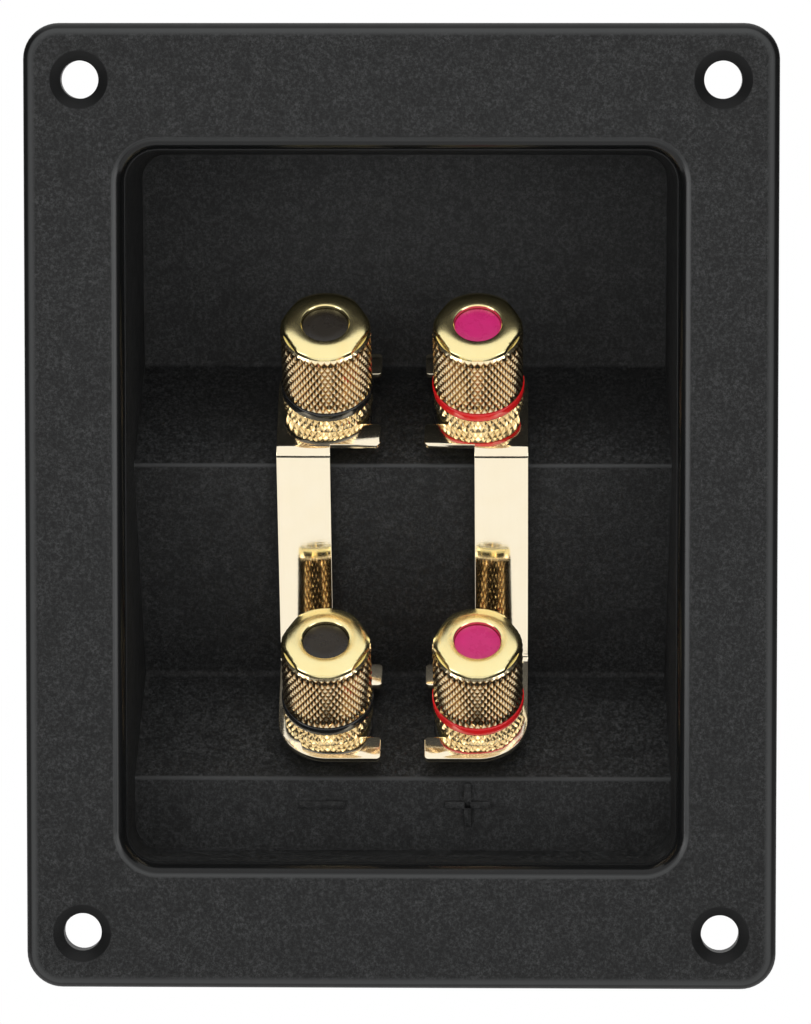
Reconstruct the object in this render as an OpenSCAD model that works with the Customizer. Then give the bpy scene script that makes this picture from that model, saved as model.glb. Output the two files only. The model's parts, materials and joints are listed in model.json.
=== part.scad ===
// Terminal cup of a loudspeaker: a moulded recess that holds four binding posts,
// a negative column on the left and a positive column on the right. A metal strap
// joins the two posts of each column. Millimetres; X points right, Y points into
// the cabinet and Z points up. The origin is the centre of the screw pattern, on
// the face of the flange that lies against the cabinet.

/* [Flange] */
// Width of the flange
flange_w = 105; // [100:1:125]
// Height of the flange
flange_h = 135; // [128:1:160]
// Thickness of the flange
flange_t = 4; // [3.5:0.5:6]
// Radius of the flange's corners
flange_corner_r = 5; // [3:0.5:7]
// Radius of the rounded edge round the flange's front
flange_edge_r = 2; // [0.5:0.25:2.5]
// Distance from the flange's edges to the screw holes
screw_inset = 7.85; // [7:0.05:8.5]
// Diameter of the screw holes
screw_hole_d = 5.3; // [4:0.1:6]
// Diameter of the countersinks at the front
countersink_d = 8.1; // [7:0.1:9]

/* [Recess] */
// Width of the recess at the front
opening_w = 77; // [68:1:82]
// Height of the recess at the front
opening_h = 100; // [98:1:108]
// Radius of the recess's corners at the front
opening_corner_r = 4.6; // [2.8:0.2:8]
// Radius of the rounded lip round the opening
lip_r = 2.1; // [0.5:0.1:3]
// Slope of the recess's four walls, in degrees
draft = 3; // [1:0.5:4]
// Thickness of the moulded walls
wall_t = 2.5; // [2:0.25:3.5]
// Radius of the floor's ridges
ridge_r = 0.4; // [0.2:0.1:1]
// Radius of the fillets in the floor's valleys
valley_r = 1; // [0.4:0.1:2]
// Depth of the floor at the top wall
head_depth = 22; // [18:0.5:26]
// Depth of the floor at the bottom wall
foot_depth = 11.8; // [8:0.2:16]

/* [Seats] */
// Angle between the posts and the flange, in degrees
seat_tilt = 45; // [40:1:50]
// Depth of each seat at the axis of its post
seat_depth = 17.85; // [16:0.25:20]
// Height of the upper posts' seats above the centre
upper_seat_z = 12; // [10:0.5:14]
// Distance from the upper posts down to the lower ones
row_pitch = 44.4; // [42:0.2:46]
// Distance between the two columns of posts
column_pitch = 21.3; // [20:0.1:28]
// Length of a seat above the axis of its post
seat_up = 9.5; // [9:0.1:11]
// Length of a seat below the axis of its post
seat_down = 9.4; // [9:0.1:11]

/* [Studs] */
// Diameter of the insulating washer under each stud's collar
seat_washer_d = 12.6; // [12:0.1:14]
// Thickness of that washer
seat_washer_t = 0.8; // [0.5:0.1:1.5]
// Diameter of the stud's collar
collar_d = 12.1; // [11:0.1:12.6]
// Thickness of the collar
collar_t = 1.85; // [1.2:0.05:2.5]
// Diameter of the stud's threaded front
shank_d = 8; // [7:0.1:8.4]
// Length of the threaded front above the collar
shank_l = 13.2; // [12:0.1:13.6]
// Diameter of the socket for a banana plug
socket_d = 4; // [3.5:0.1:4.5]
// Depth of the socket
socket_l = 14; // [13:0.25:15]
// Diameter of the hole across the stud for a bare wire
wire_hole_d = 4.2; // [3:0.1:4.8]
// Diameter of the stud's threaded tail
tail_d = 6; // [5:0.1:6.4]
// Length of the tail below the collar
tail_l = 15.5; // [14.5:0.25:20]
// Radial clearance of the turning and sliding fits
fit_gap = 0.05; // [0.02:0.01:0.1]
// Radial clearance round the tail in the moulding
tail_gap = 0.15; // [0.1:0.05:0.4]

/* [Knobs] */
// Diameter of the knobs over the knurl
knob_d = 12.8; // [12.4:0.1:14]
// Length of the knobs
knob_l = 16; // [15:0.25:17]
// Length of the knurled rim between the strap and the coloured ring
rim_l = 2.35; // [1.5:0.05:3]
// Width of the groove for the coloured ring
groove_w = 1.7; // [1.2:0.1:2.5]
// Diameter of the groove's floor
groove_d = 10.9; // [10:0.1:11.4]
// Diameter of the mouth in the knob's end
mouth_d = 6.7; // [6:0.1:7.4]
// Thickness of the end wall round the mouth
end_wall_t = 2.8; // [2:0.1:3.2]
// Number of diamonds round the knurl
knurl_n = 36; // [24:2:40]
// Height of a diamond along the knob
knurl_rise = 2; // [1.2:0.1:3]
// Depth of the knurl
knurl_depth = 0.45; // [0.2:0.05:0.6]
// Length of the polished end
cap_l = 1.2; // [1:0.1:2]
// Diameter of the polished end
cap_d = 12.4; // [11.8:0.1:12.6]
// Distance across the four side flats of the polished end
cap_flats = 11.5; // [11:0.1:12.2]
// Distance across its upper and lower flats
cap_end_flats = 12.3; // [11:0.1:12.4]
// Rise of the polished end from its rim to the mouth
cap_rise = 0.55; // [0.2:0.05:0.7]
// Width of the bevel round the polished end
cap_bevel = 0.3; // [0.1:0.05:0.3]
// Width of the flat land round the mouth
land_w = 0.25; // [0.1:0.05:0.5]
// Diameter of the coloured ring
ring_d = 13; // [12.6:0.1:14]
// Clearance between the ring and its groove
ring_gap = 0.05; // [0.02:0.01:0.1]

/* [Blanking plugs] */
// Thickness of the plug's disc
disc_t = 1.5; // [1:0.1:2]
// Depth of the disc below the knob's end
disc_recess = 0.6; // [0.2:0.1:1]
// Clearance between the disc and the mouth
disc_gap = 0.1; // [0.05:0.05:0.3]
// Length of the pin that sits in the stud's socket
pin_l = 12; // [8:0.5:12.5]

/* [Straps] */
// Thickness of the strap
strap_t = 0.85; // [0.6:0.05:1.2]
// Height of the forks across their two prongs
fork_h = 17.2; // [16:0.1:18]
// Width of the fork's slot
slot_w = 9.4; // [8.6:0.1:10]
// Reach of the fork away from the middle of the cup, from the post's axis
fork_back = 7.05; // [6.5:0.05:9]
// Reach of the prongs towards the middle of the cup, from the post's axis
fork_reach = 7.55; // [7:0.05:8.2]
// Width of the strap between its forks
strap_w = 7.55; // [5:0.05:9]
// Radius inside the bends
bend_r = 0.9; // [0.5:0.1:1.2]
// Distance from an upper post's axis to the bend below it
upper_bend = 10; // [9.8:0.1:11]
// Distance from a lower post's axis to the bend above it
lower_bend = 9.6; // [9.4:0.1:10.5]
// Radius of the fork's free outer corner
free_corner_r = 7; // [2:0.25:7.5]
// Radius of the prongs' corners
prong_r = 0.6; // [0.4:0.1:1.6]

/* [Rear fixings] */
// Diameter of the insulating washer behind the seat
back_washer_d = 11; // [9:0.1:11.2]
// Thickness of that washer
back_washer_t = 1.2; // [0.8:0.1:2]
// Thickness of the solder tag
tag_t = 0.8; // [0.5:0.1:1]
// Diameter of the tag's ring
tag_d = 10; // [9:0.1:11]
// Length of the tag from the post's axis to its tip
tag_l = 15; // [12:0.5:20]
// Width of the tag's tail
tag_w = 4; // [3:0.25:5]
// Diameter of the hole for the wire in the tag's tail
tag_hole_d = 2; // [1:0.1:2.5]
// Diameter of the lock washer
lock_washer_d = 9.5; // [8.5:0.1:10.5]
// Thickness of the lock washer
lock_washer_t = 1.2; // [0.8:0.1:1.6]
// Width of the nut across its flats
nut_flats = 10; // [9:0.5:11]
// Thickness of the nut
nut_t = 4.5; // [3:0.25:5]

/* [Hidden] */
$fn = 64;
POSTS = ["neg_upper", "neg_lower", "pos_upper", "pos_lower"];

GOLD = [0.86, 0.68, 0.33];
BLACK = [0.08, 0.08, 0.08];
RED = [0.75, 0.05, 0.1];
CRIMSON = [0.76, 0.18, 0.42];
STEEL = [0.72, 0.72, 0.7];

// Heights along a post's axis, from the seat outwards.
collar_base = seat_washer_t;
collar_top = collar_base + collar_t;
knob_base = collar_top + strap_t;
shank_top = collar_top + shank_l;
knob_top = knob_base + knob_l;
disc_top = knob_top - disc_recess;
wire_hole_h = knob_base + wire_hole_d/2 + 0.3;

// Heights of the rear fixings, from the seat inwards.
back_washer_h = -wall_t - back_washer_t;
tag_h = back_washer_h - tag_t;
lock_washer_h = tag_h - lock_washer_t;
nut_h = lock_washer_h - nut_t;

front_y = -flange_t;
seat_y = front_y + seat_depth;
lower_seat_z = upper_seat_z - row_pitch;
// Directions along a seat and along a post, as [y, z].
seat_dir = [cos(seat_tilt), sin(seat_tilt)];
post_dir = [-sin(seat_tilt), cos(seat_tilt)];

// The recess's floor from top to bottom, as [y, z]; its ends run on past the walls.
function on_seat(seat_z, v, h = 0) = [seat_y, seat_z] + v*seat_dir + h*post_dir;
floor_corners = [
    on_seat(upper_seat_z, seat_up), on_seat(upper_seat_z, -seat_down),
    on_seat(lower_seat_z, seat_up), on_seat(lower_seat_z, -seat_down)
];
head_end = [front_y + head_depth, opening_h/2];
foot_end = [front_y + foot_depth, -opening_h/2];
run_on = 4*wall_t;
floor_line = [
    head_end + run_on*unit(head_end - floor_corners[0]),
    each floor_corners,
    foot_end + run_on*unit(foot_end - floor_corners[3])
];

// Indices of the floor line's valleys and ridges.
VALLEYS = [1, 3];
RIDGES = [2, 4];

function unit(v) = v/norm(v);
// Normal on the left of a direction.
function left_of(v) = [-v[1], v[0]];
// The path moved sideways by t, with mitred corners.
function beside(path, t) = [
    for (i = [0:len(path) - 1])
        let (into = unit(path[max(i, 1)] - path[max(i, 1) - 1]),
             out = unit(path[min(i + 1, len(path) - 1)] - path[min(i, len(path) - 2)]),
             a = left_of(into), b = left_of(out))
        path[i] + (a + b)*t/(1 + a*b)
];
function reversed(path) = [for (i = [len(path) - 1:-1:0]) path[i]];

// The region between a sharp corner and the arc that rounds it. The corner's sides
// run along a and b, and the region laps over them to the far side.
module corner_fill(corner, a, b, r) {
    lap = 0.1;
    half = acos(unit(a)*unit(b))/2;
    side = r/tan(half);
    centre = corner + unit(unit(a) + unit(b))*r/sin(half);
    from_centre = function (p) p + unit(p - centre)*lap;
    difference() {
        polygon([
            from_centre(corner), from_centre(corner + unit(a)*side), centre,
            from_centre(corner + unit(b)*side)
        ]);
        translate(centre) circle(r);
    }
}

// Rounds point i of a path.
module rounding(path, i, r) corner_fill(path[i], path[i - 1] - path[i], path[i + 1] - path[i], r);

// A block with rounded corners. Its edge has the section given as a child, with x
// measured from the centre of the corner's radius and y from the block's base.
module rounded_block(w, h, r, base, height) {
    for (mx = [0, 1], my = [0, 1])
        mirror([mx, 0, 0]) mirror([0, my, 0]) translate([w/2 - r, h/2 - r, 0])
            rotate_extrude(angle = 90) children();
    for (mx = [0, 1])
        mirror([mx, 0, 0]) translate([w/2 - r, h/2 - r, 0]) rotate([90, 0, 0])
            linear_extrude(h - 2*r) children();
    for (my = [0, 1])
        mirror([0, my, 0]) translate([r - w/2, h/2 - r, 0]) rotate([90, 0, 90])
            linear_extrude(w - 2*r) children();
    translate([r - w/2, r - h/2, base]) cube([w - 2*r, h - 2*r, height]);
}

// Turns a block drawn on the flange's plan, with its height towards the front.
module upright() rotate([90, 0, 0]) children();

// Sweeps a section drawn as [y, z] sideways.
module across(w) translate([-w/2, 0, 0]) rotate([90, 0, 90]) linear_extrude(w) children();

// Places its children on the seat of a post: x stays, y runs up the seat and z runs
// out along the post.
module on_post(post) {
    side = post[0] == "n" ? -1 : 1;
    z = post == "neg_upper" || post == "pos_upper" ? upper_seat_z : lower_seat_z;
    translate([side*column_pitch/2, seat_y, z]) rotate([seat_tilt, 0, 0]) children();
}

module tube(d, hole, l) {
    difference() {
        cylinder(d = d, h = l);
        translate([0, 0, -1]) cylinder(d = hole, h = l + 2);
    }
}

// ---- Terminal cup ----

module flange() {
    upright() rounded_block(flange_w, flange_h, flange_corner_r, 0, flange_t)
        difference() {
            square([flange_corner_r, flange_t]);
            corner_fill([flange_corner_r, flange_t], [-1, 0], [0, -1], flange_edge_r);
        }
}

// The part of a drafted block that lies behind the flange's front.
module drafted(grow, deep) {
    r = opening_corner_r + grow;
    upright() rounded_block(opening_w + 2*grow, opening_h + 2*grow, r, flange_t - deep, deep)
        polygon([
            [0, flange_t], [r, flange_t], [r - deep*tan(draft), flange_t - deep],
            [0, flange_t - deep]
        ]);
}

module shell() {
    rear = beside(floor_line, wall_t);
    deepest = max([for (p = floor_line) p[0]]) + 3*wall_t - front_y;
    intersection() {
        drafted(wall_t, deepest);
        across(2*opening_w) difference() {
            polygon([[-1, 2*opening_h], each rear, [-1, -2*opening_h]]);
            for (i = VALLEYS) rounding(rear, i, valley_r + wall_t);
        }
    }
}

module recess() {
    deepest = max([for (p = floor_line) p[0]]) + wall_t - front_y;
    intersection() {
        drafted(0, deepest);
        across(2*opening_w) difference() {
            union() {
                polygon([
                    [front_y - 1, 2*opening_h], each floor_line, [front_y - 1, -2*opening_h]
                ]);
                for (i = RIDGES) rounding(floor_line, i, ridge_r);
            }
            for (i = VALLEYS) rounding(floor_line, i, valley_r);
        }
    }
    upright() rounded_block(opening_w, opening_h, opening_corner_r, flange_t - lip_r, lip_r + 1)
        union() {
            translate([0, flange_t - lip_r]) square([opening_corner_r, lip_r + 1]);
            corner_fill([opening_corner_r, flange_t], [1, 0], [0, -1], lip_r);
        }
}

module screw_hole() {
    sink = (countersink_d - screw_hole_d)/2;
    translate([0, 1, 0]) rotate([90, 0, 0]) cylinder(d = screw_hole_d, h = flange_t + 2);
    translate([0, front_y + sink, 0]) rotate([90, 0, 0])
        cylinder(d1 = screw_hole_d, d2 = countersink_d + 2, h = sink + 1);
}

module terminal_cup() {
    color(BLACK) difference() {
        union() {
            flange();
            shell();
        }
        recess();
        for (mx = [-1, 1], mz = [-1, 1])
            translate([mx*(flange_w/2 - screw_inset), 0, mz*(flange_h/2 - screw_inset)])
                screw_hole();
        for (post = POSTS)
            on_post(post) translate([0, 0, -2*wall_t])
                cylinder(d = tail_d + 2*tail_gap, h = 3*wall_t);
    }
}

// ---- Pieces of a post, from the front to the back ----

module seat_washer(post) {
    color(BLACK) on_post(post) tube(seat_washer_d, tail_d + 2*tail_gap, seat_washer_t);
}

module stud(post) {
    color(GOLD) on_post(post) difference() {
        union() {
            translate([0, 0, collar_base]) cylinder(d = collar_d, h = collar_t);
            translate([0, 0, collar_top]) cylinder(d = shank_d, h = shank_l);
            translate([0, 0, collar_base - tail_l]) cylinder(d = tail_d, h = tail_l);
        }
        translate([0, 0, shank_top - socket_l]) cylinder(d = socket_d, h = socket_l + 1);
        translate([-collar_d/2, 0, wire_hole_h]) rotate([0, 90, 0])
            cylinder(d = wire_hole_d, h = collar_d);
    }
}

// A ring of points at height z. With a depth, every other point lies deeper: the odd
// points where odd is 1, or else the even ones.
function ring_of_points(z, r, depth = 0, odd = 0) = [
    for (k = [0:2*knurl_n - 1])
        let (a = k*180/knurl_n, dent = (k + odd) % 2 == 0 ? depth : 0)
            [(r - dent)*cos(a), (r - dent)*sin(a), z]
];

// A ring of points round the polished end, inset from its round and its six flats.
function end_points(z, inset) = [
    for (k = [0:2*knurl_n - 1])
        let (a = k*180/knurl_n,
             flats = abs(a % 180 - 90) < 30 ? cap_end_flats : cap_flats,
             r = min(cap_d, flats/cos(a % 60 - 30))/2 - inset)
            [r*cos(a), r*sin(a), z]
];

// A solid through a stack of such rings. Its diagonals zigzag, so that they follow the
// grooves of a knurl.
module stacked(rings) {
    n = len(rings[0]);
    last = len(rings) - 1;
    function at(j, k) = j*n + k % n;
    polyhedron(
        [for (points = rings) each points],
        [
            [for (k = [0:n - 1]) at(0, k)],
            for (j = [0:last - 1], k = [0:n - 1])
                each (j + k) % 2 == 0
                    ? [[at(j, k), at(j + 1, k + 1), at(j, k + 1)],
                       [at(j, k), at(j + 1, k), at(j + 1, k + 1)]]
                    : [[at(j, k), at(j + 1, k), at(j, k + 1)],
                       [at(j, k + 1), at(j + 1, k), at(j + 1, k + 1)]],
            [for (k = [n - 1:-1:0]) at(last, k)]
        ]
    );
}

// The rings of a knurled band; first is the number of rings below it.
function knurled_band(base, top, first) =
    let (rows = max(1, round(2*(top - base)/knurl_rise)))
    [
        for (j = [0:rows])
            ring_of_points(base + j*(top - base)/rows, knob_d/2, knurl_depth, first + j)
    ];

module knob(post) {
    rim_top = knob_base + rim_l;
    grip_base = rim_top + groove_w;
    cap_base = knob_top - cap_l;
    rim = knurled_band(knob_base, rim_top, 0);
    grip = knurled_band(grip_base, cap_base, len(rim) + 2);
    color(GOLD) on_post(post) difference() {
        stacked([
            each rim,
            ring_of_points(rim_top, groove_d/2),
            ring_of_points(grip_base, groove_d/2),
            each grip,
            // Polished end: a bevelled rim and a cone that rises to the mouth.
            end_points(cap_base, 0),
            end_points(knob_top - cap_rise - cap_bevel, 0),
            end_points(knob_top - cap_rise, cap_bevel),
            ring_of_points(knob_top, mouth_d/2 + land_w)
        ]);
        translate([0, 0, knob_base - 1])
            cylinder(d = shank_d + 2*fit_gap, h = knob_l - end_wall_t + 1);
        translate([0, 0, knob_base]) cylinder(d = mouth_d, h = knob_l + 1);
    }
}

module ring(post, tint) {
    color(tint) on_post(post) translate([0, 0, knob_base + rim_l + ring_gap])
        tube(ring_d, groove_d + 2*ring_gap, groove_w - 2*ring_gap);
}

module plug(post, tint) {
    color(tint) on_post(post) {
        translate([0, 0, disc_top - disc_t]) cylinder(d = mouth_d - 2*disc_gap, h = disc_t);
        translate([0, 0, shank_top - pin_l])
            cylinder(d = socket_d - 2*fit_gap, h = disc_top - disc_t - shank_top + pin_l);
    }
}

module back_washer(post) {
    color(BLACK) on_post(post) translate([0, 0, back_washer_h])
        tube(back_washer_d, tail_d + 2*tail_gap, back_washer_t);
}

// The tag's tail points away from the middle of the cup.
module solder_tag(post) {
    side = post[0] == "n" ? 180 : 0;
    color(STEEL) on_post(post) translate([0, 0, tag_h]) rotate([0, 0, side])
        linear_extrude(tag_t) difference() {
            union() {
                circle(d = tag_d);
                translate([0, -tag_w/2]) square([tag_l - tag_w/2, tag_w]);
                translate([tag_l - tag_w/2, 0]) circle(d = tag_w);
            }
            circle(d = tail_d + 2*fit_gap);
            translate([tag_l - tag_w/2, 0]) circle(d = tag_hole_d);
        }
}

module lock_washer(post) {
    color(STEEL) on_post(post) translate([0, 0, lock_washer_h])
        tube(lock_washer_d, tail_d + 2*fit_gap, lock_washer_t);
}

module nut(post) {
    color(GOLD) on_post(post) translate([0, 0, nut_h]) difference() {
        cylinder(d = nut_flats/cos(30), h = nut_t, $fn = 6);
        translate([0, 0, -1]) cylinder(d = tail_d + 2*fit_gap, h = nut_t + 2);
    }
}

// ---- Straps ----

// What is cut away from the sheet round an upper post in the left column. The prongs
// point to the middle of the cup.
module fork_cut() {
    top = fork_h/2;
    translate([0, 0, collar_top - strap_t]) linear_extrude(3*strap_t) {
        corner_fill([-fork_back, top], [1, 0], [0, -1], free_corner_r);
        for (s = [-1, 1]) {
            corner_fill([fork_reach, s*top], [-1, 0], [0, -s], prong_r);
            corner_fill([fork_reach, s*slot_w/2], [-1, 0], [0, s], prong_r);
        }
        circle(d = slot_w);
        translate([0, -slot_w/2]) square([fork_reach + 1, slot_w]);
    }
}

// The sheet's front face from the top to the bottom, as [y, z].
function strap_face(fork_end) = [
    on_seat(upper_seat_z, fork_end, knob_base),
    on_seat(upper_seat_z, -upper_bend, knob_base),
    on_seat(lower_seat_z, lower_bend, knob_base),
    on_seat(lower_seat_z, -fork_end, knob_base)
];

// Where the inside of a bend of radius r starts, has its centre and ends, at point i.
function bend(path, i, r) =
    let (a = unit(path[i - 1] - path[i]), b = unit(path[i + 1] - path[i]), half = acos(a*b)/2)
    [
        path[i] + a*r/tan(half),
        path[i] + unit(a + b)*r/sin(half),
        path[i] + b*r/tan(half)
    ];

module bent_sheet(w) {
    face = strap_face(fork_h/2);
    back = beside(face, strap_t);
    upper = bend(back, 1, bend_r);
    lower = bend(face, 2, bend_r);
    across(w) difference() {
        polygon([
            face[0], face[1], each lower, face[3],
            back[3], back[2], each reversed(upper), back[0]
        ]);
        translate(upper[1]) circle(bend_r);
        translate(lower[1]) circle(bend_r);
        rounding(face, 1, bend_r + strap_t);
        rounding(back, 2, bend_r + strap_t);
    }
}

// A strap of the left column, with x measured from the axes of its posts.
module strap() {
    edge = strap_face(-fork_h/2);
    waste_w = fork_back + fork_reach - strap_w + 1;
    difference() {
        translate([(fork_reach - fork_back)/2, 0, 0]) bent_sheet(fork_back + fork_reach);
        translate([strap_w - fork_back + waste_w/2, 0, 0]) across(waste_w)
            polygon([each beside(edge, -strap_t), each reversed(beside(edge, 2*strap_t))]);
        translate([0, seat_y, upper_seat_z]) rotate([seat_tilt, 0, 0]) fork_cut();
        translate([0, seat_y, lower_seat_z]) rotate([seat_tilt, 0, 0]) mirror([0, 1, 0]) fork_cut();
    }
}

module neg_strap() color(GOLD) translate([-column_pitch/2, 0, 0]) strap();
module pos_strap() color(GOLD) mirror([1, 0, 0]) translate([-column_pitch/2, 0, 0]) strap();

terminal_cup();
neg_strap();
pos_strap();
for (post = POSTS) {
    positive = post[0] == "p";
    seat_washer(post);
    stud(post);
    knob(post);
    ring(post, positive ? RED : BLACK);
    plug(post, positive ? CRIMSON : BLACK);
    back_washer(post);
    solder_tag(post);
    lock_washer(post);
    nut(post);
}
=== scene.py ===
"""Looks of a terminal cup with four gold-plated binding posts and two jumper straps.

Everything is in metres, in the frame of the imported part: X points right, Y points into
the cabinet and Z points up. Positions come from the part's joints and nodes.
"""

import json
import math

import bmesh
import bpy
from mathutils import Matrix, Vector


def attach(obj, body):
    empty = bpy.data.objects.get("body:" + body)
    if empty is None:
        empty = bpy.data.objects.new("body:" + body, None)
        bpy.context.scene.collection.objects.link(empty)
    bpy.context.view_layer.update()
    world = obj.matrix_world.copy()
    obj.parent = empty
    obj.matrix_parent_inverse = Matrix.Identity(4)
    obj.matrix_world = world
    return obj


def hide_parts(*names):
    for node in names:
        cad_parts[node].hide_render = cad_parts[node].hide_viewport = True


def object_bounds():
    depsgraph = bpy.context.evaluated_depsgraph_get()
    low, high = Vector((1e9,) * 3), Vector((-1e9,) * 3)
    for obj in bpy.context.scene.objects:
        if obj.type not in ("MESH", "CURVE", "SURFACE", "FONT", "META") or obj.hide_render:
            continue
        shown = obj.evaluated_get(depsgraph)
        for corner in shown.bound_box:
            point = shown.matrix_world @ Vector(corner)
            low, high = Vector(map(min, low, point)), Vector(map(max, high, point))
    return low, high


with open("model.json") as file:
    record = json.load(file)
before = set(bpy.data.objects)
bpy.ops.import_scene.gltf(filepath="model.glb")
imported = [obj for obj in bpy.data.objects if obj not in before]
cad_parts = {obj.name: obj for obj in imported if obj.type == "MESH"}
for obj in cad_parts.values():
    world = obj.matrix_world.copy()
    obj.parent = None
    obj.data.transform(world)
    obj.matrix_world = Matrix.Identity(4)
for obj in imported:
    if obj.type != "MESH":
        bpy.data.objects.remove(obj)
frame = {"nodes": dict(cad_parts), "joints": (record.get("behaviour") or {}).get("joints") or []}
cad_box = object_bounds()

MM = 0.001
TURN = 2 * math.pi


# ---- Places and sizes ----

def find_posts():
    """Each post's frame: its origin on the seat, X to the right, Y up the seat, Z along the axis."""
    posts = {}
    for joint in frame["joints"]:
        if joint["name"].endswith("_knob_turn"):
            outward = Vector(joint["axis"]).normalized()
            right = Vector((1, 0, 0))
            place = Matrix((right, outward.cross(right), outward)).transposed().to_4x4()
            place.translation = joint["pos_m"]
            posts[joint["name"].removesuffix("_knob_turn")] = place
    return posts


def heights(place, name):
    """The lowest and highest point of a node along its post."""
    along = [(place.inverted() @ v.co).z for v in frame["nodes"][name].data.vertices]
    return min(along), max(along)


def radius(place, name):
    """The largest radius of a node about its post's axis."""
    return max((place.inverted() @ v.co).xy.length for v in frame["nodes"][name].data.vertices)


POSTS = find_posts()


# ---- Nodes of materials ----

def link(tree, output, target):
    tree.links.new(output, target)


def node(tree, kind, values=None, **settings):
    """A node with settings, and with values or links for its inputs."""
    made = tree.nodes.new(kind)
    for name, value in settings.items():
        setattr(made, name, value)
    for name, value in (values or {}).items():
        if isinstance(value, bpy.types.NodeSocket):
            tree.links.new(value, made.inputs[name])
        else:
            made.inputs[name].default_value = value
    return made


def calculate(tree, operation, *values):
    """The result of a sum on one or two values."""
    return node(tree, "ShaderNodeMath", dict(enumerate(values)), operation=operation).outputs[0]


def ramp(tree, value, start, end):
    """A mask that goes from 0 where a value is at its start to 1 where it is at its end."""
    limits = {"Value": value, "From Min": start, "From Max": end}
    return node(tree, "ShaderNodeMapRange", limits).outputs["Result"]


def blend_values(tree, low, high, mask):
    """A value that runs from low to high with a mask."""
    limits = {"Value": mask, "To Min": low, "To Max": high}
    return node(tree, "ShaderNodeMapRange", limits).outputs["Result"]


def noise(tree, place, scale, detail=2.0, roughness=0.5):
    """Cloudy noise with a number of cells to the metre."""
    values = {"Vector": place, "Scale": scale, "Detail": detail, "Roughness": roughness}
    return node(tree, "ShaderNodeTexNoise", values).outputs["Fac"]


def mixed(tree, mask, first, second):
    """A colour that runs from the first to the second with a mask."""
    mix = node(tree, "ShaderNodeMix", {"Factor": mask}, data_type="RGBA")
    for name, value in (("A", first), ("B", second)):
        socket = next(s for s in mix.inputs if s.name == name and s.type == "RGBA")
        if isinstance(value, bpy.types.NodeSocket):
            tree.links.new(value, socket)
        else:
            socket.default_value = (*value, 1)
    return next(s for s in mix.outputs if s.type == "RGBA")


def effect(name, inputs, outputs):
    """An empty node group with named number inputs and outputs."""
    group = bpy.data.node_groups.new(name, "ShaderNodeTree")
    for label, default in inputs:
        socket = group.interface.new_socket(label, in_out="INPUT", socket_type="NodeSocketFloat")
        socket.default_value = default
    for label in outputs:
        group.interface.new_socket(label, in_out="OUTPUT", socket_type="NodeSocketFloat")
    return group, group.nodes.new("NodeGroupInput"), group.nodes.new("NodeGroupOutput")


def object_place(tree):
    return node(tree, "ShaderNodeTexCoord").outputs["Object"]


def make_moulded_grain():
    """The spark-eroded grain of a moulding: small pits and crests, and a slow mottle."""
    group, given, out = effect("moulded_grain", [("Grain", 0.5)], ["Height", "Crests", "Mottle"])
    place = object_place(group)
    per_metre = calculate(group, "DIVIDE", 1000.0, given.outputs["Grain"])
    pits = noise(group, place, per_metre, detail=6.0, roughness=0.95)
    link(group, pits, out.inputs["Height"])
    link(group, ramp(group, pits, 0.46, 0.64), out.inputs["Crests"])
    link(group, noise(group, place, 420.0, detail=4.0, roughness=0.7), out.inputs["Mottle"])
    return group


def make_handling():
    """Faint smears and hairlines of handled, polished metal or plastic."""
    group, given, out = effect("handling", [("Size", 1.0)], ["Smears", "Hairlines"])
    place = object_place(group)
    per_metre = calculate(group, "DIVIDE", 320.0, given.outputs["Size"])
    stretch = node(group, "ShaderNodeMapping", {"Vector": place, "Scale": (0.12, 1.0, 1.0)})
    link(group, noise(group, place, per_metre, detail=4.0, roughness=0.6), out.inputs["Smears"])
    link(group, noise(group, stretch.outputs["Vector"], 5200.0), out.inputs["Hairlines"])
    return group


GRAIN = make_moulded_grain()
HANDLING = make_handling()


def new_material(name, **sockets):
    """A material with a Principled shader, whose plain values are set on its own sockets."""
    material = bpy.data.materials.new(name)
    material.use_nodes = True
    tree = material.node_tree
    shader = tree.nodes["Principled BSDF"]
    for label, value in sockets.items():
        shader.inputs[label.replace("_", " ")].default_value = value
    return material, tree, shader


def add_bump(tree, shader, height, distance, strength=1.0):
    bump = node(tree, "ShaderNodeBump", {"Height": height, "Distance": distance, "Strength": strength})
    link(tree, bump.outputs["Normal"], shader.inputs["Normal"])


def use_group(tree, group, **values):
    made = tree.nodes.new("ShaderNodeGroup")
    made.node_tree = group
    for name, value in values.items():
        made.inputs[name].default_value = value
    return made.outputs


# ---- Materials ----

CUP_DARK = (0.0022, 0.0023, 0.0023)
CUP_PALE = (0.078, 0.0810, 0.0816)
CUP_LIP = (0.004, 0.0042, 0.0043)
# The pale tone of painted highlights on the lip's rim, the floor's ridges and the flange's edge.
CUP_PAINTED_HIGHLIGHT = (0.034, 0.0352, 0.0355)
FLANGE_HALF = (52.5 * MM, 67.5 * MM)
FLANGE_CORNER = 5.0 * MM
SCREW_PLACE = (44.65 * MM, 59.65 * MM)
COUNTERSINK_RADIUS = 4.15 * MM
OPENING_HALF = (38.5 * MM, 50.0 * MM)
OPENING_CORNER = 4.6 * MM
LIP_RADIUS = 2.1 * MM
FLANGE_FRONT = -4.0 * MM
RIDGES = [(7.2 * MM, 5.35 * MM), (7.2 * MM, -39.05 * MM)]


def place_parts(tree):
    """X, Y and Z of each point in the part's own frame."""
    return node(tree, "ShaderNodeSeparateXYZ", {"Vector": object_place(tree)}).outputs


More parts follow.
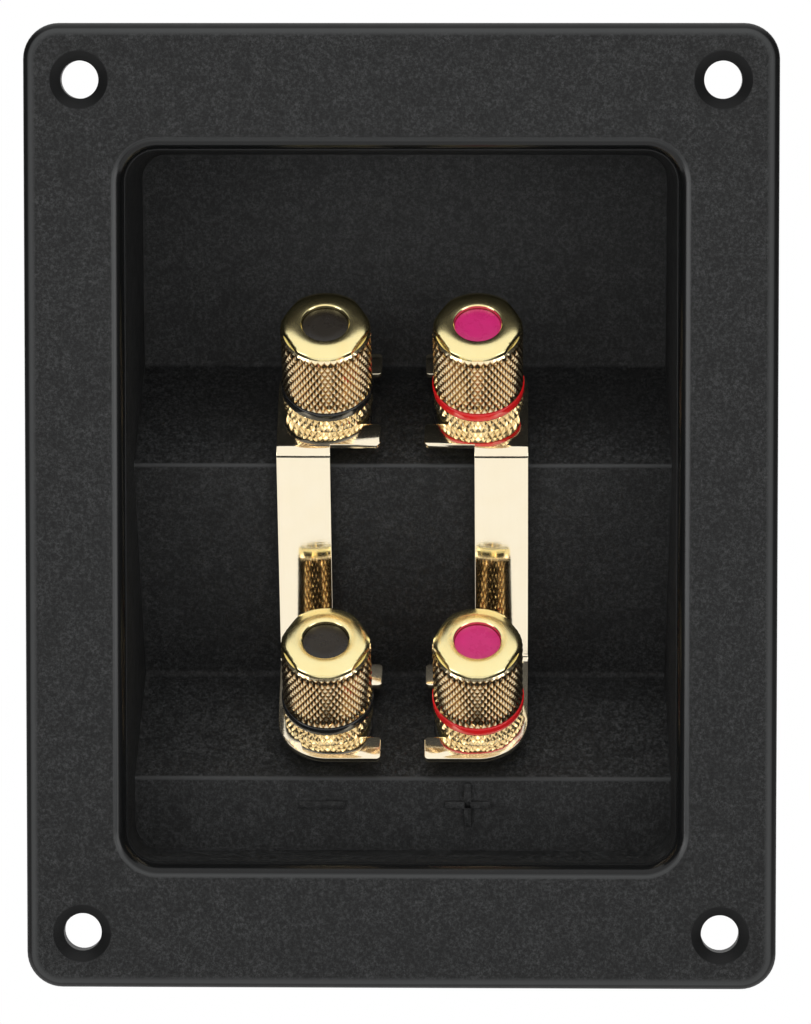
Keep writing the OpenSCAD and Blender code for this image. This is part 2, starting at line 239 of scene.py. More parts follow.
def beyond_corner(tree, where, place, least=0.0):
    """How far each point lies beyond a place in X and in Z, on all four sides of the middle."""
    beyond = []
    for axis, half in zip("XZ", place):
        past = calculate(tree, "SUBTRACT", calculate(tree, "ABSOLUTE", where[axis]), half)
        beyond.append(calculate(tree, "MAXIMUM", past, least))
    corner = node(tree, "ShaderNodeCombineXYZ", {"X": beyond[0], "Y": beyond[1]})
    reach = node(tree, "ShaderNodeVectorMath", {0: corner.outputs["Vector"]}, operation="LENGTH")
    return reach.outputs["Value"]


def lip_masks(tree):
    """The smooth rolled lip of the opening, and the painted highlight on its outer rim."""
    where = place_parts(tree)
    reach = beyond_corner(tree, where, [half - OPENING_CORNER for half in OPENING_HALF])
    within = ramp(tree, reach, OPENING_CORNER + 0.88 * LIP_RADIUS, OPENING_CORNER + 0.72 * LIP_RADIUS)
    shallow = ramp(tree, where["Y"], FLANGE_FRONT + 1.6 * LIP_RADIUS, FLANGE_FRONT + 0.9 * LIP_RADIUS)
    # Painted highlight: a paler band where the lip's roll begins.
    brow_highlight = ramp(tree, reach, OPENING_CORNER + 0.5 * LIP_RADIUS, OPENING_CORNER + 0.66 * LIP_RADIUS)
    return calculate(tree, "MULTIPLY", within, shallow), brow_highlight


def countersink_mask(tree):
    """The smooth cones of the four countersinks."""
    from_screw = beyond_corner(tree, place_parts(tree), SCREW_PLACE, least=-1.0)
    return ramp(tree, from_screw, COUNTERSINK_RADIUS, COUNTERSINK_RADIUS - 0.15 * MM)


def painted_edge_light_masks(tree):
    """Painted shade on the outer round of the flange's front, and the painted highlight band that it ends.
    """
    where = place_parts(tree)
    reach = beyond_corner(tree, where, [half - FLANGE_CORNER for half in FLANGE_HALF])
    # Painted shade on the outermost part of the round.
    dull = ramp(tree, reach, FLANGE_CORNER - 0.85 * MM, FLANGE_CORNER - 0.65 * MM)
    # Painted highlight in a band on the round's inner part, on the front only.
    band = ramp(tree, reach, FLANGE_CORNER - 1.8 * MM, FLANGE_CORNER - 1.2 * MM)
    front = ramp(tree, where["Y"], -0.2 * MM, -0.6 * MM)
    return dull, calculate(tree, "MULTIPLY", band, front)


def ridge_highlight_mask(tree):
    """Painted highlights along the two ridges of the recess's floor."""
    where = place_parts(tree)
    from_side = node(tree, "ShaderNodeCombineXYZ", {"Y": where["Y"], "Z": where["Z"]})
    highlit_ridges = []
    for y, z in RIDGES:
        gap = node(tree, "ShaderNodeVectorMath", {0: from_side.outputs["Vector"], 1: (0.0, y, z)},
                   operation="DISTANCE")
        # Painted highlight within a small distance of each ridge.
        highlit_ridges.append(ramp(tree, gap.outputs["Value"], 0.42 * MM, 0.22 * MM))
    return calculate(tree, "MAXIMUM", *highlit_ridges)


def make_cup_plastic():
    """Black grained plastic, smooth and darker on the lip, round the edge and in the countersinks, with
    painted shade on the edge's outer round and painted highlights on the lip's outer rim, the floor's
    ridges and a band round the edge.
    """
    material, tree, shader = new_material("cup_plastic", IOR=1.38)
    grain = use_group(tree, GRAIN, Grain=0.56)
    lip, brow_highlight = lip_masks(tree)
    sunk = countersink_mask(tree)
    dull, band = painted_edge_light_masks(tree)
    speckled = mixed(tree, grain["Crests"], CUP_DARK, CUP_PALE)
    mottled = mixed(tree, blend_values(tree, -0.1, 1.15, grain["Mottle"]), speckled, CUP_DARK)
    # Painted highlights along the floor's two ridges.
    highlit_ridges = mixed(tree, ridge_highlight_mask(tree), mottled, CUP_PAINTED_HIGHLIGHT)
    # Painted highlight on the lip's outer rim, over its smooth dark tone.
    lipped = mixed(tree, lip, highlit_ridges, mixed(tree, brow_highlight, CUP_LIP, CUP_PAINTED_HIGHLIGHT))
    # Painted highlight band round the flange's edge, and painted shade on its outermost round.
    edged = mixed(tree, band, lipped, mixed(tree, dull, CUP_PAINTED_HIGHLIGHT, CUP_DARK))
    link(tree, mixed(tree, sunk, edged, CUP_LIP), shader.inputs["Base Color"])
    rough = blend_values(tree, 0.40, 0.60, grain["Mottle"])
    polish = node(tree, "ShaderNodeMix", {"Factor": lip, "A": rough, "B": 0.2})
    link(tree, polish.outputs["Result"], shader.inputs["Roughness"])
    smooth = calculate(tree, "MAXIMUM", calculate(tree, "MAXIMUM", lip, sunk), band)
    height = calculate(tree, "MULTIPLY", grain["Height"], calculate(tree, "SUBTRACT", 1.0, smooth))
    add_bump(tree, shader, height, 0.1 * MM)
    return material


def make_gold(name, roughness, deep, pale, bump, groove=None):
    """Gold plate: a warm mirror, a little duller where it has been handled, and with painted shade
    darkening its grooves.
    """
    material, tree, shader = new_material(name, Metallic=1.0)
    marks = use_group(tree, HANDLING)
    colour = mixed(tree, marks["Smears"], deep, pale)
    if groove:
        # Painted shade: the knurl's valleys darken towards the groove colour.
        depth = node(tree, "ShaderNodeAttribute", attribute_name=GROOVE_SHADE_ATTRIBUTE).outputs["Fac"]
        colour = mixed(tree, ramp(tree, depth, 0.35, 0.95), colour, groove)
    link(tree, colour, shader.inputs["Base Color"])
    link(tree, blend_values(tree, roughness[0], roughness[1], marks["Smears"]), shader.inputs["Roughness"])
    add_bump(tree, shader, marks["Hairlines"], bump)
    return material


def make_gloss_plastic(name, colour, shade, roughness):
    """A glossy coloured plastic with faint smears."""
    material, tree, shader = new_material(name, IOR=1.5, Coat_Weight=0.3, Coat_Roughness=0.05)
    marks = use_group(tree, HANDLING, Size=1.6)
    link(tree, mixed(tree, marks["Smears"], shade, colour), shader.inputs["Base Color"])
    dulled = blend_values(tree, roughness * 0.8, roughness * 1.25, marks["Smears"])
    link(tree, dulled, shader.inputs["Roughness"])
    add_bump(tree, shader, marks["Hairlines"], 0.004 * MM)
    return material


def make_satin_plastic(name, colour, shade):
    """A satin plastic whose fine grain scatters the light."""
    material, tree, shader = new_material(name, IOR=1.46)
    grain = use_group(tree, GRAIN, Grain=0.2)
    link(tree, mixed(tree, grain["Mottle"], shade, colour), shader.inputs["Base Color"])
    link(tree, blend_values(tree, 0.2, 0.36, grain["Mottle"]), shader.inputs["Roughness"])
    add_bump(tree, shader, grain["Height"], 0.02 * MM)
    return material


def make_tinned_steel():
    """Steel with a dull coat of tin, smeared here and there."""
    material, tree, shader = new_material("tinned_steel", Metallic=1.0)
    marks = use_group(tree, HANDLING, Size=0.7)
    tin = mixed(tree, marks["Smears"], (0.44, 0.44, 0.43), (0.66, 0.66, 0.64))
    link(tree, tin, shader.inputs["Base Color"])
    link(tree, blend_values(tree, 0.2, 0.46, marks["Smears"]), shader.inputs["Roughness"])
    add_bump(tree, shader, marks["Hairlines"], 0.01 * MM)
    return material


# The attribute that carries painted shade for the knurl's valleys.
GROOVE_SHADE_ATTRIBUTE = "groove"
CUP_PLASTIC = make_cup_plastic()
GOLD = make_gold("gold_polished", (0.12, 0.21), (1.0, 0.80, 0.36), (1.0, 0.91, 0.50), 0.002 * MM)
STRAP_GOLD = make_gold("gold_strap", (0.05, 0.12), (0.97, 0.85, 0.62), (1.0, 0.90, 0.70), 0.002 * MM)
# The knurled gold's groove colour is painted shade for the knurl's valleys.
KNURLED_GOLD = make_gold("gold_knurled", (0.12, 0.2), (1.0, 0.80, 0.46), (1.0, 0.88, 0.60),
                         0.004 * MM, groove=(0.36, 0.165, 0.045))
RING_BLACK = make_gloss_plastic("ring_black", (0.012, 0.012, 0.012), (0.006, 0.006, 0.006), 0.18)
RING_RED = make_gloss_plastic("ring_red", (0.80, 0.018, 0.018), (0.62, 0.008, 0.012), 0.18)
PLUG_BLACK = make_satin_plastic("plug_black", (0.020, 0.016, 0.011), (0.007, 0.005, 0.004))
PLUG_CRIMSON = make_satin_plastic("plug_crimson", (0.52, 0.018, 0.15), (0.36, 0.010, 0.09))
WASHER_PLASTIC = make_satin_plastic("washer_plastic", (0.012, 0.012, 0.012), (0.006, 0.006, 0.006))
TINNED_STEEL = make_tinned_steel()
BRASS = make_gold("bright_brass", (0.16, 0.32), (0.62, 0.42, 0.16), (0.8, 0.58, 0.27), 0.006 * MM)


# ---- Making pieces ----

def turned(profile, steps, closed=True):
    """A bmesh turned about Z from a profile of (radius, height)."""
    bm = bmesh.new()
    points = [bm.verts.new((r, 0, h)) for r, h in profile]
    ends = points[1:] + points[:1] if closed else points[1:]
    edges = [bm.edges.new(pair) for pair in zip(points, ends)]
    bmesh.ops.spin(bm, geom=points + edges, cent=(0, 0, 0), axis=(0, 0, 1), dvec=(0, 0, 0),
                   angle=TURN, steps=steps, use_merge=True, use_duplicate=False)
    bmesh.ops.remove_doubles(bm, verts=bm.verts, dist=1e-7)
    bmesh.ops.recalc_face_normals(bm, faces=bm.faces)
    return bm


def rounded_edges(bm, edges, width, segments=2):
    """Rounds edges over by a width."""
    bmesh.ops.bevel(bm, geom=edges, offset=width, offset_type="OFFSET", segments=segments,
                    profile=0.5, affect="EDGES", clamp_overlap=True, material=-1)


def sharp_edges(bm, least=60):
    """The edges whose faces turn by more than an angle in degrees."""
    return [e for e in bm.edges if e.calc_face_angle(0) > math.radians(least)]


def circles_of(bm, r, h):
    """The edges that run round the axis at a radius and height."""
    def on(v):
        return abs(v.co.xy.length - r) < 1e-6 and abs(v.co.z - h) < 1e-6
    return [e for e in bm.edges if all(on(v) for v in e.verts)]


def cut_flat(bm, angle, distance):
    """Cuts a flat parallel to the axis, facing an angle in degrees, and closes it."""
    out = Vector((math.cos(math.radians(angle)), math.sin(math.radians(angle)), 0))
    cut = bmesh.ops.bisect_plane(bm, geom=list(bm.verts) + list(bm.edges) + list(bm.faces), dist=1e-7,
                                 plane_co=out * distance, plane_no=out, clear_outer=True)
    rim = [e for e in cut["geom_cut"] if isinstance(e, bmesh.types.BMEdge)]
    bmesh.ops.holes_fill(bm, edges=rim, sides=0)


def joined(first, second):
    """Adds the second bmesh's shape to the first."""
    shape = bpy.data.meshes.new("part")
    second.to_mesh(shape)
    second.free()
    first.from_mesh(shape)
    bpy.data.meshes.remove(shape)
    return first


def finish_piece(bm, name, place, body, replaced, material, smooth_below=32):
    """Turns a bmesh into a piece that rides on a body and stands for CAD nodes."""
    bm.transform(place)
    shape = bpy.data.meshes.new(name)
    bm.to_mesh(shape)
    bm.free()
    shape.shade_smooth()
    shape.set_sharp_from_angle(angle=math.radians(smooth_below))
    shape.materials.append(material)
    piece = bpy.data.objects.new(name, shape)
    bpy.context.scene.collection.objects.link(piece)
    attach(piece, body)
    if replaced:
        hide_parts(*replaced)
    return piece


def merged_copy(name):
    """A bmesh of a CAD node whose loose triangles are joined up, with flat faces made whole."""
    bm = bmesh.new()
    bm.from_mesh(frame["nodes"][name].data)
    bmesh.ops.remove_doubles(bm, verts=bm.verts, dist=2e-7)
    bmesh.ops.dissolve_limit(bm, angle_limit=math.radians(1), verts=bm.verts, edges=bm.edges)
    return bm


def dress(name, material):
    """Gives a CAD node a finished material."""
    slots = frame["nodes"][name].data.materials
    slots.clear()
    slots.append(material)


# ---- Knobs ----

KNURL_COLUMNS = 88
KNURL_ROW = 0.826 * MM
KNURL_DEPTH = 0.25 * MM
END_ROW_SHARE = 0.35
PEAK_FLAT = 0.12 * MM
GRIP_RADIUS = 6.4 * MM
GROOVE_RADIUS = 5.45 * MM
BORE_RADIUS = 4.05 * MM
MOUTH_RADIUS = 3.3 * MM
RIM_LENGTH = 2.35 * MM
GROOVE_WIDTH = 1.7 * MM
CAP_LENGTH = 1.2 * MM
CAP_RADIUS = 6.2 * MM
CAP_LONG_FLAT = 5.75 * MM
CAP_SHORT_FLAT = 6.15 * MM
# Radius and drop of the cap's dome below its top, in millimetres
CAP_DOME = [(3.3, 0.0), (4.7, 0.05), (5.3, 0.12), (5.8, 0.27), (6.2, 0.55)]
GRIP_CHAMFER = 0.4 * MM
END_WALL = 2.8 * MM
RING_END_GAP = 0.12 * MM
PLUG_DISC = 1.5 * MM
PLUG_PIN_RADIUS = 1.95 * MM


def knurl_rows(base, top):
    """Heights of the rows of points between two ends of a knurled band."""
    count = max(1, round((top - base) / KNURL_ROW))
    return [base + i * (top - base) / count for i in range(count + 1)]


def knurl(bm, rows, end_rows, paler_groove_shade_below):
    """Presses valleys between the peaks of a turned band, cuts the grooves that join them and stores
    painted shade for the valleys.
    """
    shade = bm.verts.layers.float.new(GROOVE_SHADE_ATTRIBUTE)

    def step_of(v):
        return round(math.atan2(v.co.y, v.co.x) / TURN * KNURL_COLUMNS) % KNURL_COLUMNS

    def row_of(v):
        return next((i for i, h in enumerate(rows) if abs(v.co.z - h) < 1e-6), None)

    band = {}
    for v in bm.verts:
        if abs(v.co.xy.length - GRIP_RADIUS) < 1e-6 and row_of(v) is not None:
            band[v] = (step_of(v) + row_of(v)) % 2 == 1
    faces = [f for f in bm.faces if all(v in band for v in f.verts)]
    for v, is_valley in band.items():
        if is_valley:
            depth = KNURL_DEPTH * (END_ROW_SHARE if row_of(v) in end_rows else 1)
            v.co.xy *= (GRIP_RADIUS - depth) / GRIP_RADIUS
    for face in faces:
        low = [v for v in face.verts if band[v]]
        bmesh.utils.face_split(face, low[0], low[1])
    for v, is_valley in band.items():
        # Painted shade: full in the grip's valleys, less in the rim's, none on the peaks.
        v[shade] = 0.0 if not is_valley else 0.6 if v.co.z < paler_groove_shade_below else 1.0
    peaks = [v for v, is_valley in band.items() if not is_valley and len(v.link_faces) == 4]
    bmesh.ops.bevel(bm, geom=peaks, offset=PEAK_FLAT, offset_type="OFFSET", segments=1, profile=0.5,
                    affect="VERTICES", clamp_overlap=True, material=-1)


def make_cap(base, top):
    """The knob's polished end: a low dome with six flats round it and a rolled mouth."""
    dome = [(r * MM, top - drop * MM) for r, drop in reversed(CAP_DOME)]
    cap = turned([(MOUTH_RADIUS, base), (CAP_RADIUS, base)] + dome, KNURL_COLUMNS)
    for angle in range(30, 360, 60):
        cut_flat(cap, angle, CAP_SHORT_FLAT if angle % 180 == 90 else CAP_LONG_FLAT)
    rounded_edges(cap, circles_of(cap, MOUTH_RADIUS, top), 0.24 * MM, 3)
    shoulder = [e for e in sharp_edges(cap, least=25)
                if all(v.co.z > base + 0.2 * MM and v.co.xy.length > 5 * MM for v in e.verts)
                and abs(e.verts[0].co.z - e.verts[1].co.z) < 0.3 * MM]
    rounded_edges(cap, shoulder, 0.14 * MM)
    return cap


def make_knob(post, place):
    """A knob with two knurled bands, a groove for its ring between them, and a polished end."""
    name = f"{post}_knob"
    base, top = heights(place, name)
    rim_top = base + RIM_LENGTH
    grip_base = rim_top + GROOVE_WIDTH
    cap_base = top - CAP_LENGTH
    rim, grip = knurl_rows(base, rim_top), knurl_rows(grip_base, cap_base - GRIP_CHAMFER)
    body = turned(
        [(BORE_RADIUS, base)] + [(GRIP_RADIUS, h) for h in rim]
        + [(GROOVE_RADIUS, rim_top), (GROOVE_RADIUS, grip_base)] + [(GRIP_RADIUS, h) for h in grip]
        + [(GRIP_RADIUS - GRIP_CHAMFER, cap_base), (MOUTH_RADIUS, cap_base),
           (MOUTH_RADIUS, top - END_WALL), (BORE_RADIUS, top - END_WALL)],
        KNURL_COLUMNS)
    end_rows = (0, len(rim) - 1, len(rim), len(rim + grip) - 1)
    knurl(body, rim + grip, end_rows, paler_groove_shade_below=grip_base)
    piece = finish_piece(joined(body, make_cap(cap_base, top)), f"{name}_knurled", place, name, [name],
                         KNURLED_GOLD, smooth_below=24)
    piece.data.materials.append(GOLD)
    polished_from = cap_base - 0.01 * MM
    for face in piece.data.polygons:
        low = min((place.inverted() @ piece.data.vertices[i].co).z for i in face.vertices)
        if low > polished_from:
            face.material_index = 1


def make_ring(post, place):
    """The coloured ring, a little narrower than its groove, with rounded edges."""
    name = f"{post}_ring"
    base, top = heights(place, name)
    base, top = base + RING_END_GAP, top - RING_END_GAP
    inner, outer = GROOVE_RADIUS + 0.05 * MM, radius(place, name)
    bm = turned([(inner, base), (outer, base), (outer, top), (inner, top)], 96)
    rounded_edges(bm, circles_of(bm, outer, base) + circles_of(bm, outer, top), 0.16 * MM, 3)
    colour, slot = (RING_BLACK, "ring_black") if post.startswith("neg") else (RING_RED, "ring_red")
    finish_piece(bm, f"{name}_rounded", place, name, [name], colour, smooth_below=50)


def make_plug(post, place):
    """The blanking plug, with a shallow dish in its disc and a rounded pin."""
    name = f"{post}_plug"
    pin_end, top = heights(place, name)
    outer, disc_base = radius(place, name), top - PLUG_DISC
    bm = turned([(0, top - 0.07 * MM), (outer * 0.55, top - 0.05 * MM), (outer, top), (outer, disc_base),
                 (PLUG_PIN_RADIUS, disc_base), (PLUG_PIN_RADIUS, pin_end), (0, pin_end)], 64, closed=False)
    rounded_edges(bm, circles_of(bm, outer, top), 0.12 * MM)
    rounded_edges(bm, circles_of(bm, PLUG_PIN_RADIUS, pin_end), 0.5 * MM, 3)
    colour, slot = (PLUG_BLACK, "plug_black") if post.startswith("neg") else (PLUG_CRIMSON, "plug_crimson")
    finish_piece(bm, f"{name}_dished", place, name, [name], colour, smooth_below=40)


# ---- Studs and what holds them behind the cup ----

COLLAR_TOP = 2.65 * MM
COLLAR_BASE = 0.8 * MM
COLLAR_RADIUS = 6.05 * MM
SHANK_RADIUS = 4.0 * MM
SOCKET_RADIUS = 2.0 * MM
SOCKET_LENGTH = 14.0 * MM
WIRE_HOLE_RADIUS = 2.1 * MM
WIRE_HOLE_HEIGHT = 5.9 * MM
TAIL_RADIUS = 3.0 * MM
THREAD_PITCH = 1.0 * MM
THREAD_DEPTH = 0.4 * MM
THREAD_STEPS = 28
# Degrees to each side of the cross hole where the thread leaves off
WIRE_HOLE_ARC = 35
CHAMFER = 0.4 * MM
TAIL_CLEARANCE = 0.05 * MM
WASHER_CLEARANCE = 0.15 * MM


def close_ends(bm):
    """Caps the open ends of a wound shape."""
    bmesh.ops.holes_fill(bm, edges=[e for e in bm.edges if e.is_boundary], sides=0)
    bmesh.ops.recalc_face_normals(bm, faces=bm.faces)


def wound(profile, degrees, steps, rise):
    """A closed profile of (radius, height) wound about Z through an angle while it rises."""
    bm = bmesh.new()
    points = [bm.verts.new((r, 0, h)) for r, h in profile]
    edges = [bm.edges.new(pair) for pair in zip(points, points[1:] + points[:1])]
    bmesh.ops.spin(bm, geom=points + edges, cent=(0, 0, 0), axis=(0, 0, 1),
                   dvec=(0, 0, rise / steps), angle=math.radians(degrees), steps=steps,
                   use_merge=False, use_duplicate=False)
    close_ends(bm)
    return bm


def thread_profile(crest):
    """The section of one turn of thread, whose foot is sunk a little in its core."""
    root = crest - THREAD_DEPTH - 0.05 * MM
    return [(root, 0), (crest, 0.36 * THREAD_PITCH), (crest, 0.5 * THREAD_PITCH),
            (root, 0.86 * THREAD_PITCH)]


def thread(crest, base, turns):
    """A ridge that winds up a core from its base."""
    ridge = wound(thread_profile(crest), 360 * turns, THREAD_STEPS * turns, THREAD_PITCH * turns)
    bmesh.ops.translate(ridge, vec=(0, 0, base), verts=ridge.verts)
    return ridge


def thread_beside_hole(crest, base, turns):
    """The same ridge in arcs, which stop at the two mouths of the cross hole."""
    arc = 180 - 2 * WIRE_HOLE_ARC
    arcs = bmesh.new()
    for half_turn in range(2 * turns):
        start = WIRE_HOLE_ARC + 180 * half_turn
        ridge = wound(thread_profile(crest), arc, 9, THREAD_PITCH * arc / 360)
        ridge.transform(Matrix.Translation((0, 0, base + THREAD_PITCH * start / 360))
                        @ Matrix.Rotation(math.radians(start), 4, "Z"))
        joined(arcs, ridge)
    return arcs


def bored_across(body, bore):
    """The body less the bore, with both bmeshes used up."""
    things = []
    for bm in (body, bore):
        shape = bpy.data.meshes.new("blank")
        bm.to_mesh(shape)
        bm.free()
        things.append(bpy.data.objects.new("blank", shape))
        bpy.context.scene.collection.objects.link(things[-1])
    blank, drill = things
    cut = blank.modifiers.new("bore", "BOOLEAN")
    cut.operation, cut.solver, cut.object = "DIFFERENCE", "EXACT", drill
    drilled = bmesh.new()
    drilled.from_mesh(blank.evaluated_get(bpy.context.evaluated_depsgraph_get()).data)
    for thing in things:
        shape = thing.data
        bpy.data.objects.remove(thing)
        bpy.data.meshes.remove(shape)
    return drilled


def stud_blank(end, top):
    """A stud with its collar, its socket and the cross hole for a bare wire, without threads."""
    core, tail = SHANK_RADIUS - THREAD_DEPTH, TAIL_RADIUS - THREAD_DEPTH
    socket_base = top - SOCKET_LENGTH
    body = turned(
        [(0, end), (tail - CHAMFER, end), (tail, end + CHAMFER), (tail, COLLAR_BASE),
         (COLLAR_RADIUS, COLLAR_BASE), (COLLAR_RADIUS, COLLAR_TOP), (core, COLLAR_TOP),
         (core, top - CHAMFER), (core - CHAMFER, top), (SOCKET_RADIUS + 0.2 * MM, top),
         (SOCKET_RADIUS, top - 0.2 * MM), (SOCKET_RADIUS, socket_base), (0, socket_base)],
        56, closed=False)
    collar = [circles_of(body, COLLAR_RADIUS, h) for h in (COLLAR_BASE, COLLAR_TOP)]
    rounded_edges(body, collar[0] + collar[1], 0.15 * MM)
    bore = bmesh.new()
    bmesh.ops.create_cone(bore, cap_ends=True, segments=40, radius1=WIRE_HOLE_RADIUS,
                          radius2=WIRE_HOLE_RADIUS, depth=4 * SHANK_RADIUS)
    across = Matrix.Rotation(math.radians(90), 4, "Y")
    bore.transform(Matrix.Translation((0, 0, WIRE_HOLE_HEIGHT)) @ across)
    return bored_across(body, bore)


def make_stud(post, place):
    """A stud with a thread on its tail, and one on its front in arcs beside the cross hole."""
    name = f"{post}_stud"
    end, top = heights(place, name)
    stud = stud_blank(end, top)
    joined(stud, thread(TAIL_RADIUS, end + CHAMFER, 5))
    joined(stud, thread_beside_hole(SHANK_RADIUS, COLLAR_TOP + 0.1 * MM, 6))
    finish_piece(stud, f"{name}_threaded", place, "cup", [name], GOLD, smooth_below=35)


def make_washer(post, place, kind):
    """A plain plastic washer with softened edges."""
    name = f"{post}_{kind}"
    base, top = heights(place, name)
    outer, inner = radius(place, name), TAIL_RADIUS + WASHER_CLEARANCE
    bm = turned([(inner, base), (outer, base), (outer, top), (inner, top)], 72)
    rounded_edges(bm, circles_of(bm, outer, base) + circles_of(bm, outer, top), 0.18 * MM)
    finish_piece(bm, f"{name}_softened", place, "cup", [name], WASHER_PLASTIC,
                 smooth_below=50)


def make_solder_tag(post):
    """The solder tag as cut, with its stamped edges softened."""
    name = f"{post}_solder_tag"
    bm = merged_copy(name)
    rounded_edges(bm, sharp_edges(bm), 0.1 * MM)
    finish_piece(bm, f"{name}_tinned", Matrix.Identity(4), "cup", [name], TINNED_STEEL)


def make_lock_washer(post, place):
    """A split spring washer, whose ends stand a little apart."""
    name = f"{post}_lock_washer"
    base, top = heights(place, name)
    outer, inner = radius(place, name), TAIL_RADIUS + TAIL_CLEARANCE
    rise = 0.2 * MM
    section = [(inner, base), (outer, base), (outer, top - rise), (inner, top - rise)]
    bm = wound(section, 346, 60, rise)
    rounded_edges(bm, sharp_edges(bm), 0.1 * MM)
    finish_piece(bm, f"{name}_split", place, "cup", [name], TINNED_STEEL)


def make_nut(post, place):
    """A hexagon nut with chamfered corners and a countersunk bore."""
    name = f"{post}_nut"
    base, top = heights(place, name)
    corner, bore = radius(place, name), TAIL_RADIUS + TAIL_CLEARANCE
    flat = corner * math.cos(math.radians(30))
    face = flat - 0.1 * MM
    bm = turned([(bore, base + CHAMFER), (bore + CHAMFER, base), (face, base), (corner, base + CHAMFER),
                 (corner, top - CHAMFER), (face, top), (bore + CHAMFER, top), (bore, top - CHAMFER)], 72)
    for angle in range(30, 360, 60):
        cut_flat(bm, angle, flat)
    finish_piece(bm, f"{name}_chamfered", place, "cup", [name], BRASS, smooth_below=20)


# ---- Straps ----

def make_strap(side):
    """A jumper strap as bent, with its stamped edges softened and its faces polished."""
    name = f"{side}_strap"
    bm = merged_copy(name)
    rounded_edges(bm, sharp_edges(bm), 0.08 * MM)
    finish_piece(bm, f"{name}_polished", Matrix.Identity(4), name, [name], STRAP_GOLD,
                 smooth_below=30)


# ---- Polarity marks on the foot of the recess ----

MARK_RISE = 0.45 * MM
MARK_SUNK = 0.5 * MM
MARK_HEIGHT = -42.8 * MM
MINUS_PLACE = -11.4 * MM
PLUS_PLACE = 9.2 * MM
BAR_ACROSS = (6.4 * MM, 1.0 * MM)
BAR_UPRIGHT = (1.0 * MM, 6.2 * MM)


def bar(width, height, centre, facing):
    """A raised bar on the sloping foot of the recess."""
    bm = bmesh.new()
    bmesh.ops.create_cube(bm, size=1)
    bmesh.ops.scale(bm, vec=(width, height, MARK_RISE + MARK_SUNK), verts=bm.verts)
    bmesh.ops.translate(bm, vec=(0, 0, (MARK_RISE - MARK_SUNK) / 2), verts=bm.verts)
    rounded_edges(bm, list(bm.edges), 0.06 * MM)
    bm.transform(Matrix.Translation(centre) @ facing)
    return bm


def foot_face(x, z):
    """The point and the frame of the recess's foot at a place, found on the moulding itself."""
    cup = frame["nodes"]["terminal_cup"]
    _, point, normal, _ = cup.ray_cast(Vector((x, -20 * MM, z)), Vector((0, 1, 0)))
    right = Vector((1, 0, 0))
    up = normal.cross(right)
    return point, Matrix((right, up, normal)).transposed().to_4x4()


def make_mark(name, x, bars):
    """A polarity sign made of crossing bars."""
    point, facing = foot_face(x, MARK_HEIGHT)
    mark = bmesh.new()
    for width, height in bars:
        joined(mark, bar(width, height, point, facing))
    finish_piece(mark, name, Matrix.Identity(4), "cup", [], CUP_PLASTIC)


# ---- The whole object ----

dress("terminal_cup", CUP_PLASTIC)
for post, place in POSTS.items():
    make_knob(post, place)
    make_ring(post, place)
    make_plug(post, place)
    make_stud(post, place)
    make_washer(post, place, "seat_washer")
    make_washer(post, place, "back_washer")
    make_solder_tag(post)
    make_lock_washer(post, place)
    make_nut(post, place)
for side in ("neg", "pos"):
    make_strap(side)
make_mark("mark_minus", MINUS_PLACE, [BAR_ACROSS])
make_mark("mark_plus", PLUS_PLACE, [BAR_ACROSS, BAR_UPRIGHT])


# ---- Stage, light and camera ----

FLOOR_RADIUS = 0.85
FLOOR_DROP = 0.16
SKY_SHOWN = 1.0
SKY_LIGHT = 0.65


def make_floor():
    """A round pale table under the object."""
    bm = bmesh.new()
    bmesh.ops.create_circle(bm, cap_ends=True, segments=96, radius=FLOOR_RADIUS)
    bmesh.ops.translate(bm, vec=(0, 0, cad_box[0].z - FLOOR_DROP), verts=bm.verts)
    place_on_stage(bm, "floor", make_paint("pale_floor", (0.8, 0.8, 0.8), (0.84, 0.84, 0.84)))


def make_card(name, width, height, angle, axis, centre):
    """A dark card that only mirrors show, turned about an axis and moved to its place."""
    bm = bmesh.new()
    bmesh.ops.create_grid(bm, x_segments=1, y_segments=1, size=0.5)
    bmesh.ops.scale(bm, vec=(width, height, 1), verts=bm.verts)
    turn = Matrix.Rotation(math.radians(angle), 3, axis)
    bmesh.ops.rotate(bm, cent=(0, 0, 0), matrix=turn, verts=bm.verts)
    bmesh.ops.translate(bm, vec=centre, verts=bm.verts)
    card = place_on_stage(bm, name, make_paint(name, (0.02, 0.02, 0.02), (0.03, 0.03, 0.03)))
    card.visible_camera = card.visible_diffuse = card.visible_shadow = False


def make_paint(name, first, second):
    """Flat paint with a faint cloudiness between two shades."""
    material, tree, shader = new_material(name, Roughness=0.9, Specular_IOR_Level=0.1)
    clouds = noise(tree, object_place(tree), 40.0)
    link(tree, mixed(tree, clouds, first, second), shader.inputs["Base Color"])
    return material


def place_on_stage(bm, name, material):
    """Turns a bmesh into a thing for the stage, with one material and on no body."""
    shape = bpy.data.meshes.new(name)
    bm.to_mesh(shape)
    bm.free()
    shape.materials.append(material)
    thing = bpy.data.objects.new(name, shape)
    bpy.context.scene.collection.objects.link(thing)
    return thing


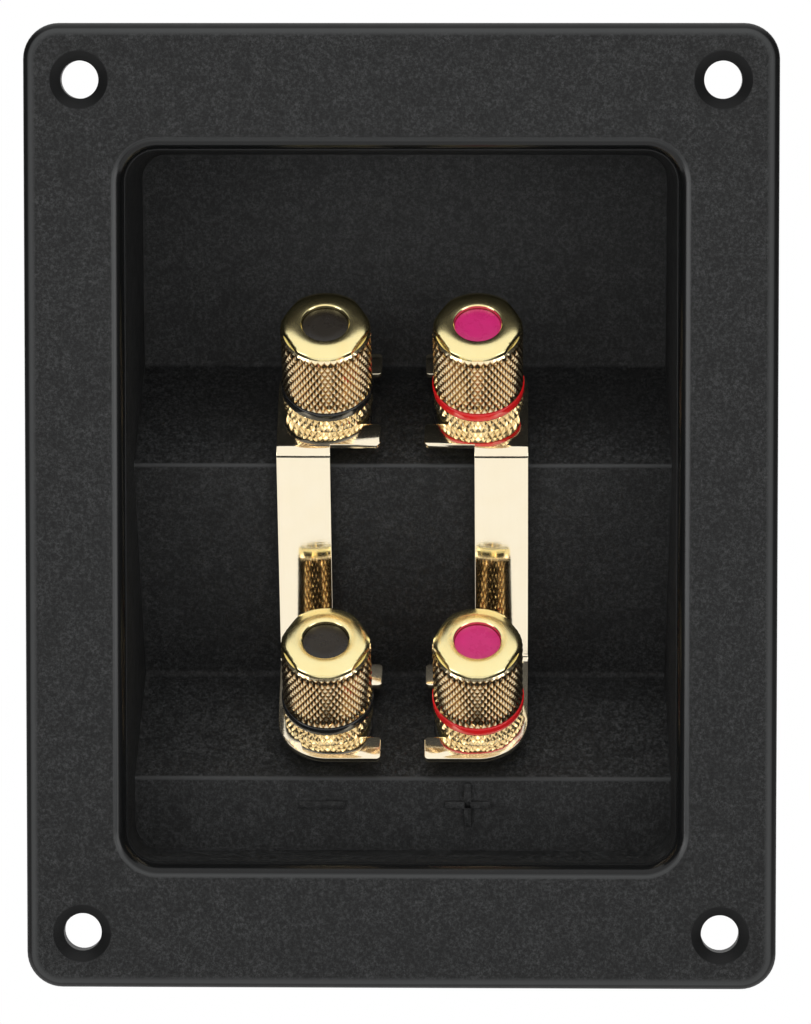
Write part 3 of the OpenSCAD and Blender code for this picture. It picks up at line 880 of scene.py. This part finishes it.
def make_world():
    """White to the lens and in mirrors, and softer as a light."""
    world = bpy.data.worlds.new("studio")
    bpy.context.scene.world = world
    world.use_nodes = True
    tree = world.node_tree
    tree.nodes.clear()
    rays = node(tree, "ShaderNodeLightPath")
    shown = rays.outputs["Is Camera Ray"]
    for kind in ("Is Glossy Ray", "Is Transmission Ray"):
        shown = calculate(tree, "MAXIMUM", shown, rays.outputs[kind])
    level = blend_values(tree, SKY_LIGHT, SKY_SHOWN, shown)
    sky = node(tree, "ShaderNodeBackground", {"Color": (1, 1, 1, 1), "Strength": level})
    out = node(tree, "ShaderNodeOutputWorld")
    link(tree, sky.outputs["Background"], out.inputs["Surface"])


def make_lamp(name, place, size, watts, mirrored=True):
    """A softbox that points at the middle of the part."""
    lamp = bpy.data.lights.new(name, "AREA")
    lamp.shape = "RECTANGLE"
    lamp.size, lamp.size_y = size
    lamp.energy = watts
    holder = bpy.data.objects.new(name, lamp)
    holder.location = place
    holder.rotation_euler = (-Vector(place)).to_track_quat("-Z", "Y").to_euler()
    holder.visible_glossy = mirrored
    bpy.context.scene.collection.objects.link(holder)


def make_camera():
    """The lens, a little above the middle and pointed at the flange's front."""
    data = bpy.data.cameras.new("camera")
    data.sensor_width = 36
    data.lens = 212.2
    data.shift_x = 0.0047
    data.shift_y = -0.0024
    data.clip_end = 20
    camera = bpy.data.objects.new("camera", data)
    camera.location = (0.020, -0.841, 0.067)
    target = Vector((0, FLANGE_FRONT, 0))
    camera.rotation_euler = (target - camera.location).to_track_quat("-Z", "Y").to_euler()
    bpy.context.scene.collection.objects.link(camera)
    bpy.context.scene.camera = camera


make_floor()
make_card("flag_left", 1.0, 1.3, 90, "Y", (-0.6, 0.23, 0.32))
make_card("flag_right", 1.0, 1.3, 90, "Y", (0.6, 0.23, 0.32))
make_card("front_card", 0.5, 0.22, 62, "X", (0, -0.30, -0.165))
make_world()
make_lamp("top_softbox", (-0.1, -0.54, 1.66), (1.0, 0.3), 21.0, mirrored=False)
make_lamp("left_softbox", (-1.45, -1.25, -0.05), (1.0, 1.0), 6.5)
make_lamp("right_softbox", (1.45, -1.25, -0.05), (1.0, 1.0), 6.0)
make_camera()
bpy.context.scene.view_settings.view_transform = "Standard"
